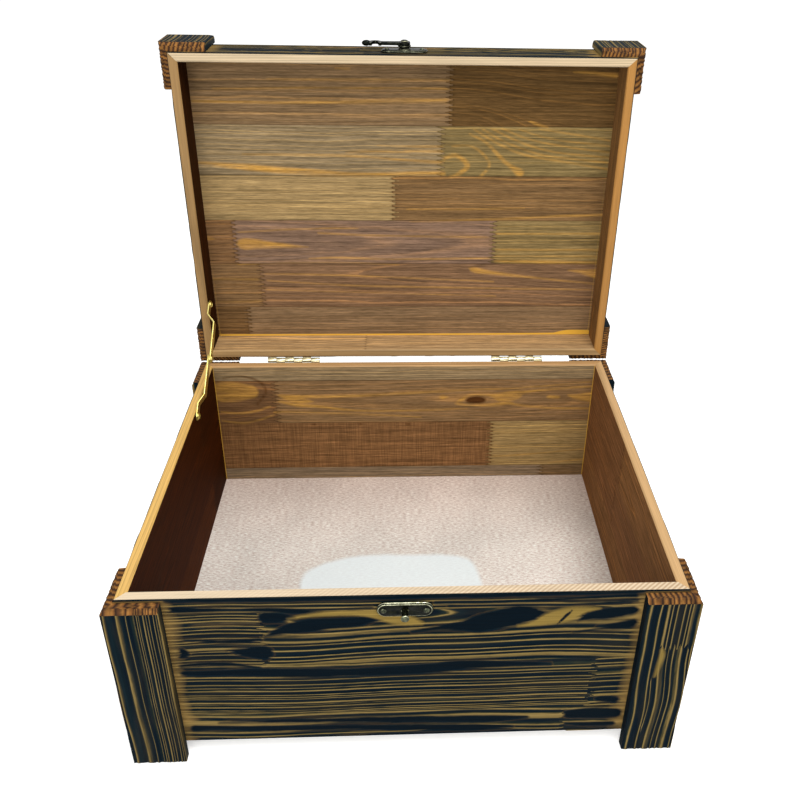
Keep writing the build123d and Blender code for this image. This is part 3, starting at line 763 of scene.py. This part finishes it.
def makeSide(name, nodeName, body, cuts, board):
    # a wall or a rail, with the two long edges of its rim broken; its grain is measured from the middle
    # of the outer edge of the rim, and the last rawEnd millimetres of both ends are hardly burnt
    low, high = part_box(nodeName)
    along, rimAxis = (int(np.argmax(np.abs(board[key]))) for key in ("grain", "rim"))
    outAxis = 3 - along - rimAxis
    inwardSign = -1 if sum(board["out"]) > 0 else 1
    rimPlace = (high if sum(board["rim"]) > 0 else low)[rimAxis]
    piece = mitredBoard(name, low, high, along, (outAxis, inwardSign))
    activate(piece)
    bpy.ops.object.mode_set(mode="EDIT")
    pick(
        piece,
        "EDGE",
        lambda edge: abs((edge.verts[1].co - edge.verts[0].co)[along]) > 0.2
        and all(abs(vertex.co[rimAxis] - rimPlace) < 1e-5 for vertex in edge.verts),
    )
    bpy.ops.mesh.bevel(offset=rimArris, segments=1)
    bpy.ops.object.mode_set(mode="OBJECT")
    gridFace(piece, Vector(board["out"]), along, cuts[0])
    gridFace(piece, -Vector(board["out"]), along, cuts[1])
    origin = (low + high) / 2
    origin[outAxis] = (low if inwardSign > 0 else high)[outAxis]
    origin[rimAxis] = rimPlace
    burnEnd = (high - low)[along] / mm / 2 - board["rawEnd"]
    shared = {"origin": origin, "thick": boardThick, "brushDepth": 0.4, "burnEnd": burnEnd, "burnFade": 14.0}
    finishBoard(piece, {**board, **shared}, body, "scorched_pine", nodeName)


for order, (side, wall) in enumerate(walls.items()):
    board = {
        **wall,
        "across": (0, 0, -1),
        "rim": (0, 0, 1),
        "outer": frontOuter if side == "front" else grownStaves(11 + order, 145, 280),
        "inner": backInner if side == "back" else grownStaves(31 + order, 145, 280, stain=innerStainsAndShade[side]),
        "outerFigure": frontFigure if side == "front" else {},
        "innerFigure": backFigure if side == "back" else {},
        "sawnFrom": -75.0 if side == "front" else endless,
        "rawEnd": 30.0,
        "shift": 0.7 * order,
    }
    makeSide(side + "WallBoard", side + "_wall", "case", wallCuts[side], board)
print("case walls ready")

panelFigure = {
    "flame": (
        ((-166, 36.3, 0.7), (-71, 34.6, 1.2), (37, 34.2, 1.5)),
        ((-184, 46.9, 2.2), (-96, 47.5, 2.3), (36, 44.2, 3)),
        ((-119, 27.5, 0.7), (38, 26.5, 1)),
        ((-60, 17.6, 1), (-48, 17.9, 1.7)),
        ((145, 18.6, 0.7), (162, 19.4, 2.5), (183, 21.1, 3.5)),
        ((109, 62.2, 0.8), (117, 65.3, 2.3), (127, 68, 1.3)),
        ((-145, 94.4, 1.1), (-58, 95.1, 1.9), (3, 99.3, 2.4), (33, 101, 3)),
        ((-53, 92.2, 1.3), (-32, 91.2, 2.4), (3, 91.5, 1.1)),
        ((-25, 85.6, 0.8), (3, 86.4, 1.6), (33, 86.2, 1.9)),
        ((-2, 90.5, 1.3), (33, 90.7, 2.1)),
        ((-186, 102.4, 3.2), (-138, 106.9, 6.5), (-85, 110.9, 6.5), (-48, 112.4, 3.8), (34, 111.6, 4.9)),
        ((34, 97.7, 3.2), (45, 94.2, 3.8), (56, 103.3, 4.9), (49, 111.2, 3.8), (40, 114.9, 2.2)),
        ((42, 85.6, 1.6), (57, 85.2, 1.6), (68, 91.3, 2.1), (76, 102.9, 2.5), (68, 114.7, 2.8)),
        ((57, 74.4, 1.6), (72, 82.2, 2.1), (87, 97.4, 3.8), (95, 104.1, 3.8), (104, 110.4, 8.3)),
        ((61, 70.2, 1.3), (81, 82.1, 1.9), (107, 93.2, 1.9), (147, 100.2, 1.6), (186, 106.6, 1.9)),
        ((68, 69.6, 1.3), (88, 81, 1.6), (120, 92.6, 1.6), (152, 96.9, 1.4), (185, 100.3, 1.9)),
        ((77, 69.5, 1.3), (101, 80.9, 1.6), (133, 90.3, 1.3), (185, 95.6, 1.6)),
        ((86, 69.4, 1.3), (114, 79.8, 1.3), (154, 86.9, 1.3), (185, 90.5, 1.4)),
        ((101, 69.8, 1), (132, 78.6, 1.3), (184, 84.6, 1.3)),
        ((119, 69.4, 1), (158, 75.2, 1.3), (184, 79.5, 1.3)),
        ((1, 146.5, 1.1), (57, 146.3, 1.1), (111, 144.9, 0.6)),
        ((4, 158.9, 0.9), (84, 156.3, 1.7), (138, 153.2, 2), (186, 151.6, 2.3)),
        ((-185, 176.2, 4.1), (-179, 176.5, 1.8)),
        ((-157, 182, 3), (-152, 182, 11.8), (-142, 182, 10.6), (-123, 183.5, 7.1), (-92, 184.9, 0.6)),
        ((-157, 170, 1.2), (-90, 166.4, 1.5), (-45, 165.7, 1.2)),
        ((-82, 170.7, 1.2), (-23, 173.2, 1.8), (78, 174.8, 1.5)),
        ((-92, 197.2, 0.9), (-62, 196.2, 2.4), (-10, 197.7, 1.8), (81, 196.5, 1.8)),
        ((-160, 203.2, 1.2), (-78, 201.1, 0.9), (-7, 203.5, 1.2)),
        ((85, 171.2, 1.5), (184, 171, 1.8)),
        ((86, 187.4, 1.5), (186, 187.9, 1.8)),
        ((86, 194.6, 1.5), (185, 194.6, 1.5)),
        ((86, 199.8, 2.4), (114, 200.4, 3.7), (186, 201.3, 3.7)),
        ((-184, 218.8, 1.5), (-141, 219.4, 1.5)),
        ((-184, 243.4, 0.9), (-140, 242.9, 1.3)),
        ((-135, 213.3, 1.2), (-63, 214.9, 1.5), (20, 218.6, 1.2), (85, 221.8, 1.3)),
        ((-134, 220.4, 0.9), (-52, 226, 1.6), (32, 228, 1.6), (182, 230.8, 1.3)),
        ((-135, 230.3, 0.9), (-24, 234.2, 0.9), (88, 237.6, 1)),
        ((61, 206.9, 1.2), (67, 209.3, 6.8), (84, 212.4, 4.3), (129, 218.1, 1.9), (185, 224.4, 1.6)),
        ((157, 209.4, 1.2), (171, 211.2, 5), (185, 213.4, 10.6)),
    ),
    "glue": (
        ((-184, 281, 1.4), (90, 281, 1.7), (187, 280.5, 2)),
        ((152, 280, 2), (163, 278.6, 4), (184, 279, 4.5)),
        ((-184.7, 84.7, 1), (-184.7, 158.5, 1.4), (-184.7, 282, 1.9)),
        ((184.7, 55.6, 1.4), (184.7, 181.2, 1.7), (184.7, 282, 1.9)),
    ),
}
lidPanelInner = [
    newStave(
        67.2,
        length(to=38.7, heart=-60, depth=10, ringWidth=7.0, wave=0.5, stain="#765e42"),
        length(
            heart=76, depth=2, tip=40, slope=0.45, reach=70, ringWidth=2.5, crowd=0.9, wave=0.6,
            stain="#5c4426",
        ),
    ),
    newStave(
        114.2,
        length(to=31.7, heart=150, depth=10, ringWidth=4.4, wave=0.9, turn=1.4, stain="#7f6d51"),
        length(heart=300, depth=10, ringWidth=4.0, wave=0.4, stain="#75633f"),
    ),
    newStave(
        157.7,
        length(to=-10.8, heart=-90, depth=20, ringWidth=1.9, wave=0.4, char=0.6, stain="#907851"),
        length(heart=230, depth=20, ringWidth=3.3, wave=0.7, stain="#725738"),
    ),
    newStave(
        202.5,
        length(to=-159.9, heart=100, ringWidth=5.0, stain="#77583a"),
        length(to=82.8, heart=180, depth=1, tip=-215, slope=0.1, reach=300, ringWidth=8.0, wave=0.7,
               stain="#785f4d"),
        length(heart=120, ringWidth=4.2, depth=14, wave=0.4, stain="#7a6641"),
    ),
    newStave(
        249.2,
        length(to=-138.4, heart=290, ringWidth=5.2, stain="#75593b"),
        length(heart=212, depth=1, tip=230, slope=0.09, reach=300, ringWidth=5.5, wave=1.5, waveLength=420,
               stain="#775a41"),
    ),
    newStave(
        endless,
        length(to=-154.2, heart=330, ringWidth=4.0, stain="#6c5031"),
        length(heart=300, ringWidth=2.0, depth=10, wave=0.6, stain="#7d6347"),
    ),
]
lidSides = {
    "front": {"grain": (1, 0, 0), "out": (0, 0, 1), "rimStain": "#c6b08e"},
    "right": {"grain": (0, 0, 1), "out": (1, 0, 0), "rimStain": "#a8773a"},
    "back": {"grain": (1, 0, 0), "out": (0, 0, -1), "rimStain": "#a8875a"},
    "left": {"grain": (0, 0, 1), "out": (-1, 0, 0), "rimStain": "#967548"},
}
railFigure = {
    "shade": (
        ((-162, 1.2, 4.5), (-20, 1.6, 5.2), (162, 1.0, 4.8)),
        ((-150, 12, 1), (-120, 11, 4), (-60, 12, 5), (-10, 11, 2)),
        ((30, 14, 1), (70, 13, 5), (120, 14, 6), (158, 12, 4)),
    )
}
# the rails' inner faces: left painted near black and front dark as painted shade, back light as painted light
railStainsAndShade = {"front": "#4c3116", "right": "#7a5935", "back": "#a08059", "left": "#2c1505"}
railCuts = (((100, 1), (28,)), ((60,), (36,)))
for order, (side, rail) in enumerate(lidSides.items()):
    board = {
        **rail,
        "across": (0, 1, 0),
        "rim": (0, -1, 0),
        "outer": grownStaves(51 + order, 28, 280),
        "inner": grownStaves(71 + order, 28, 280, stain=(railStainsAndShade[side],)),
        "outerFigure": railFigure if side == "front" else {},
        "rawEnd": 33.0,
        "shift": 4.1 + 0.7 * order,
    }
    makeSide("lid" + side.capitalize() + "Rail", "lid_" + side + "_rail", "lid", railCuts, board)

piece = copyOfNode("lid_top", "lidPanel")
gridFace(piece, Vector((0, 1, 0)), 0, ((100,), (100, 1)))
gridFace(piece, Vector((0, -1, 0)), 0, ((60, 1), (110, 3)))
low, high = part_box("lid_top")
finishBoard(
    piece,
    {
        "grain": (1, 0, 0),
        "across": (0, 0, -1),
        "out": (0, 1, 0),
        "rim": (0, 0, 0),
        "origin": ((low.x + high.x) / 2, high.y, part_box("lid_front_rail")[1].z),
        "outer": grownStaves(91, 290, 386),
        "inner": lidPanelInner,
        "innerFigure": panelFigure,
        "thick": (high.y - low.y) / mm,
        "brushDepth": 0.45,
        "shift": 9.3,
    },
    "lid",
    "scorched_pine",
    "lid_top",
)
print("lid boards ready")


plateSides = {"case": walls, "lid": lidSides}
platePattern = {
    "case_plate_front_right": [
        newStave(12.5, length(heart=-30, depth=5, ringWidth=5.0, wave=0.8, waveLength=160)),
        newStave(
            endless,
            length(to=46.0, heart=-70, depth=4, ringWidth=3.7, wave=0.2, slope=0.0),
            length(heart=-38, depth=5, ringWidth=4.3, wave=1.5, waveLength=190, turn=1.0, slope=0.03),
        ),
    ],
    "case_plate_front_left": [
        newStave(22.0, length(heart=-60, depth=4, ringWidth=6.5, wave=0.7, waveLength=200, char=0.9)),
        newStave(endless, length(heart=-20, depth=4, ringWidth=2.1, wave=0.5, waveLength=200, char=0.9)),
    ],
}


def plateStaves(name, order):
    if name in platePattern:
        return platePattern[name]
    chance = np.random.default_rng(200 + order)
    ranges = {
        "heart": (-60, -8),
        "depth": (3, 9),
        "ringWidth": (2.6, 4.6),
        "wave": (0.4, 1.2),
        "waveLength": (110, 240),
        "turn": (0, 6),
    }
    drawn = {key: chance.uniform(*limits) for key, limits in ranges.items()}
    return [newStave(endless, length(slope=0.02, char=0.92, **drawn))]


plateFigure = {
    "case_plate_front_right": {"flame": (((48, 16, 1.5), (54, 17, 3), (64, 16, 2.4), (76, 14.5, 0.8)),)},
}
plateNames = sorted(name for name in cadNodes if "_plate_" in name and name.split("_")[0] in plateSides)
for order, name in enumerate(plateNames):
    half, _, side, place = name.split("_")
    out = Vector(plateSides[half][side]["out"])
    rim, grainAxis, alongCuts = (Vector((0, 0, 1)), 2, 96) if half == "case" else (Vector((0, -1, 0)), 1, 30)
    low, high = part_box(name)
    piece = copyOfNode(name, pieceName("_".join((half, side, place, "plate"))))
    gridFace(piece, out, grainAxis, ((alongCuts,), (60,)), lean=0.3)
    board = {
        "grain": -rim,
        "across": np.abs(rim.cross(out)),
        "out": out,
        "rim": rim,
        "rimStain": "#84522a",
        "rimMaterial": toastedEndGrain,
        "rimLean": 0.3,
        "origin": [high[axis] if (rim + out)[axis] > 0 else low[axis] for axis in range(3)],
        "outer": plateStaves(name, order),
        "outerFigure": plateFigure.get(name, {}),
        "inner": plateStaves(name, order),
        "thick": 7.0,
        "brushDepth": 0.4,
        "shift": 12.0 + 0.7 * order,
    }
    finishBoard(piece, board, half, "scorched_plate", name)
print("corner plates ready")


# the outline of a painted pale highlight on the bottom, as x and y
highlightOutline = ((-93, -60), (-94, -8), (-61, 10), (-10, 14), (59, 8), (72, -22), (70, -60), (0, -74))


def outlineDistance(points, outline):
    # to the edge of an outline with no hollows, negative inside and round at the corners, which run
    # clockwise
    roundness = 5.0
    total = np.zeros(len(points))
    for start, end in zip(outline, outline[1:] + outline[:1]):
        way = np.subtract(end, start) / math.dist(start, end)
        total += np.exp(np.clip((points - start) @ np.array((-way[1], way[0])) / roundness, -20, 20))
    return roundness * np.log(total)


piece = copyOfNode("bottom_panel", "bottomBoard")
gridFace(piece, Vector((0, 0, 1)), 0, ((60, 1), (60, 1)))
points = np.array([tuple(vertex.co) for vertex in piece.data.vertices]) / mm
# distance to the painted highlight's outline, on the top face only
worn = outlineDistance(points[:, :2], highlightOutline)
attribute = piece.data.attributes.new("worn", "FLOAT", "POINT")
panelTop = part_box("bottom_panel")[1].z / mm
isTop = points[:, 2] > panelTop - 1
attribute.data.foreach_set("value", np.where(isTop, worn, farOff).astype(np.float32))
piece.data.materials.append(sandedPlywood)
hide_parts("bottom_panel")
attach(piece, "case")
print("bottom panel ready")


def finishMetal(piece, body, slotName, metals, edge, *nodeNames):
    # breaks the sharp edges; the second metal, if there is one, goes on the broken edges as a painted
    # highlight and shows where they are rubbed
    for metal in metals:
        piece.data.materials.append(metal)
    activate(piece)
    softEdge = piece.modifiers.new("softEdge", "BEVEL")
    softEdge.width = edge * mm
    softEdge.segments = 2
    softEdge.limit_method = "ANGLE"
    softEdge.angle_limit = math.radians(40)
    softEdge.material = len(metals) - 1
    bpy.ops.object.modifier_apply(modifier=softEdge.name)
    bpy.ops.object.shade_smooth_by_angle(angle=math.radians(38))
    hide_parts(*nodeNames)
    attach(piece, body)
    print(piece.name, len(piece.data.polygons))


def turnOnLathe(name, steps, sides=28):
    # steps are radius and height in millimetres along the z axis, from the bottom up
    bpy.ops.object.select_all(action="DESELECT")
    radius, height = steps[0]
    bpy.ops.mesh.primitive_circle_add(
        vertices=sides, radius=radius * mm, fill_type="NGON", location=(0, 0, height * mm)
    )
    piece = bpy.context.active_object
    piece.name = name
    bpy.ops.object.mode_set(mode="EDIT")
    for nextRadius, nextHeight in steps[1:]:
        bpy.ops.mesh.extrude_region_move(TRANSFORM_OT_translate={"value": (0, 0, (nextHeight - height) * mm)})
        ratio = nextRadius / radius
        bpy.ops.transform.resize(value=(ratio, ratio, 1))
        radius, height = nextRadius, nextHeight
    bpy.ops.mesh.select_all(action="SELECT")
    bpy.ops.mesh.normals_make_consistent(inside=False)
    bpy.ops.object.mode_set(mode="OBJECT")
    bpy.ops.object.transform_apply(location=True, rotation=True, scale=True)
    return piece


def crossRecess(piece, reach, width, depth, top):
    # the cross for the screwdriver, cut down from the top of the head
    for size in ((2 * reach, width), (width, 2 * reach)):
        bpy.ops.object.select_all(action="DESELECT")
        bpy.ops.mesh.primitive_cube_add(size=1.0, location=(0, 0, top * mm))
        cutter = bpy.context.active_object
        cutter.scale = (size[0] * mm, size[1] * mm, 2 * depth * mm)
        bpy.ops.object.transform_apply(location=True, rotation=True, scale=True)
        activate(piece)
        cut = piece.modifiers.new("recess", "BOOLEAN")
        cut.object = cutter
        bpy.ops.object.modifier_apply(modifier=cut.name)
        bpy.data.objects.remove(cutter)


def screwPlaces(nodeName, outward):
    # where the top of each screw's head is, from the loose parts of the node
    activate(copyOfNode(nodeName, "screwPlaces"))
    bpy.ops.object.mode_set(mode="EDIT")
    bpy.ops.mesh.select_all(action="SELECT")
    bpy.ops.mesh.separate(type="LOOSE")
    bpy.ops.object.mode_set(mode="OBJECT")
    places = []
    for loose in list(bpy.context.selected_objects):
        points = np.array([tuple(vertex.co) for vertex in loose.data.vertices])
        place = (points.min(axis=0) + points.max(axis=0)) / 2
        axis = int(np.argmax(np.abs(outward)))
        place[axis] = points[:, axis].max() if outward[axis] > 0 else points[:, axis].min()
        places.append(Vector(place))
        bpy.data.objects.remove(loose)
    return places


screws = {
    # node: body, slot, metals, way out, radius and height of the head
    "keeper_screws": ("case", "latch_bronze", (wornBronze, rubbedBronze), (0, -1, 0), 2.1, 0.8),
    "latch_screws": ("lid", "latch_bronze", (wornBronze, rubbedBronze), (0, 0, 1), 2.1, 0.8),
    "case_leaf_screws": ("case", "hinge_steel", (zincPlate,), (0, 1, 0), 2.4, 0.8),
    "lid_leaf_screws": ("lid", "hinge_steel", (zincPlate,), (0, 0, -1), 2.4, 0.8),
    "stay_case_screw": ("case", "stay_brass", (brassPlate,), (1, 0, 0), 3.2, 1.4),
    "stay_lid_screw": ("lid", "stay_brass", (brassPlate,), (1, 0, 0), 3.2, 1.4),
}
for order, (nodeName, (body, slotName, metals, outward, radius, height)) in enumerate(screws.items()):
    places = screwPlaces(nodeName, outward)
    screw = turnOnLathe(
        "screw",
        [
            (0.3, -height - 6.0),
            (1.2, -height - 5.2),
            (1.2, -height),
            (radius, -height),
            (radius, -0.75 * height),
            (0.86 * radius, -0.3 * height),
            (0.62 * radius, 0.0),
        ],
    )
    crossRecess(screw, 0.55 * radius, 0.26 * radius, 0.55 * height, 0.0)
    copies = []
    for number, place in enumerate(places):
        activate(screw)
        bpy.ops.object.duplicate()
        screwCopy = bpy.context.active_object
        turn = Vector(outward).to_track_quat("Z", "Y").to_matrix().to_4x4()
        spin = Matrix.Rotation(0.5 + 1.3 * number + order, 4, "Z")
        screwCopy.matrix_world = Matrix.Translation(place) @ turn @ spin
        bpy.ops.object.transform_apply(location=True, rotation=True, scale=True)
        copies.append(screwCopy)
    bpy.data.objects.remove(screw)
    bpy.ops.object.select_all(action="DESELECT")
    for screwCopy in copies:
        screwCopy.select_set(True)
    bpy.context.view_layer.objects.active = copies[0]
    bpy.ops.object.join()
    piece = bpy.context.active_object
    piece.name = pieceName(nodeName)
    finishMetal(piece, body, slotName, metals, 0.12, nodeName)

bodyOfNode = {node: body for body, nodes in frame["record"]["behaviour"]["bodies"].items() for node in nodes}
plated = {
    # start of the node's name: slot, metals, how far the sharp edges are broken
    "keeper_stud": ("latch_bronze", (wornBronze, rubbedBronze), 0.3),  # lighter, as the claw rubs it, and as a painted highlight
    "keeper": ("latch_bronze", (agedBronze, rubbedBronze), 0.3),
    "latch": ("latch_bronze", (agedBronze, rubbedBronze), 0.3),
    "hinge": ("hinge_steel", (zincPlate,), 0.15),
    "stay": ("stay_brass", (brassPlate,), 0.2),
}
for nodeName in sorted(cadNodes):
    start = nodeName if nodeName in plated else nodeName.split("_")[0]
    if start not in plated or nodeName in screws:
        continue
    piece = copyOfNode(nodeName, pieceName(nodeName))
    slotName, metals, edge = plated[start]
    finishMetal(piece, bodyOfNode[nodeName], slotName, metals, edge, nodeName)
print("hardware ready")


studio = {
    "overhead": 22.0,  # watts
    "front": 10.0,
    "softLight": 0.6,
    "floorGlow": 0.5,
}


def makeCamera():
    # looks down on the open chest from the front
    pitch, yaw, roll = (math.radians(angle) for angle in (27.441, 3.161, 1.382))
    look = Vector((math.sin(yaw) * math.cos(pitch), math.cos(yaw) * math.cos(pitch), -math.sin(pitch)))
    right = Vector((math.cos(yaw), -math.sin(yaw), 0.0))
    up = right.cross(look)
    tiltedRight = math.cos(roll) * right + math.sin(roll) * up
    tiltedUp = math.cos(roll) * up - math.sin(roll) * right
    camera = bpy.data.cameras.new("camera")
    holder = bpy.data.objects.new("camera", camera)
    bpy.context.scene.collection.objects.link(holder)
    turn = Matrix((tiltedRight, tiltedUp, -look)).transposed().to_4x4()
    holder.matrix_world = Matrix.Translation((-0.0005, -0.5593, 0.5958)) @ turn
    camera.lens = 37.341
    camera.sensor_width = 36.0
    camera.shift_x = -0.0575
    camera.shift_y = -0.1375
    bpy.context.scene.camera = holder


def areaLamp(name, place, target, size, power):
    lamp = bpy.data.lights.new(name, "AREA")
    lamp.shape = "DISK"
    lamp.size = size
    lamp.energy = power
    holder = bpy.data.objects.new(name, lamp)
    bpy.context.scene.collection.objects.link(holder)
    holder.location = place
    holder.rotation_euler = (Vector(target) - Vector(place)).to_track_quat("-Z", "Y").to_euler()


def makeStage():
    # floor and surroundings light the chest softly, and the camera sees both of them plain white
    bpy.ops.mesh.primitive_plane_add(size=12.0, location=(0, 0, -0.0002))
    floor = bpy.context.active_object
    floor.name = "floor"
    paint = newMaterial("whiteFloor")
    toCamera = addNode(paint, "LightPath", output="Is Camera Ray")
    glow = addNode(paint, "Emission", inputs={"Color": "#ffffff", "Strength": studio["floorGlow"]})
    matt = addNode(paint, "BsdfDiffuse", inputs={"Color": "#f4f4f2"})
    both = addNode(paint, "AddShader", inputs={0: glow, 1: matt})
    choice = addNode(paint, "MixShader", inputs={0: toCamera, 1: matt, 2: both})
    addNode(paint, "OutputMaterial", inputs={"Surface": choice})
    floor.data.materials.append(paint)
    world = bpy.data.worlds.new("studio")
    bpy.context.scene.world = world
    world.use_nodes = True
    world.node_tree.nodes.clear()
    rays = ("Is Glossy Ray", "Is Transmission Ray", "Is Camera Ray")
    glossy, through, toCamera = (addNode(world, "LightPath", output=ray) for ray in rays)
    mirrored = addNode(world, "Math", {"operation": "ADD"}, {0: glossy, 1: through})
    seen = addNode(world, "Math", {"operation": "ADD", "use_clamp": True}, {0: toCamera, 1: mirrored})
    soft = addNode(world, "Background", inputs={"Color": "#ffffff", "Strength": studio["softLight"]})
    white = addNode(world, "Background", inputs={"Color": "#ffffff", "Strength": 1.0})
    choice = addNode(world, "MixShader", inputs={0: seen, 1: soft, 2: white})
    addNode(world, "OutputWorld", inputs={"Surface": choice})


makeCamera()
makeStage()
areaLamp("overheadLamp", (0.35, -0.6, 1.7), (0, 0, 0.15), 1.1, studio["overhead"])
areaLamp("frontLamp", (-0.5, -1.7, 0.8), (0, 0, 0.15), 1.0, studio["front"])
bpy.context.scene.view_settings.view_transform = "Standard"
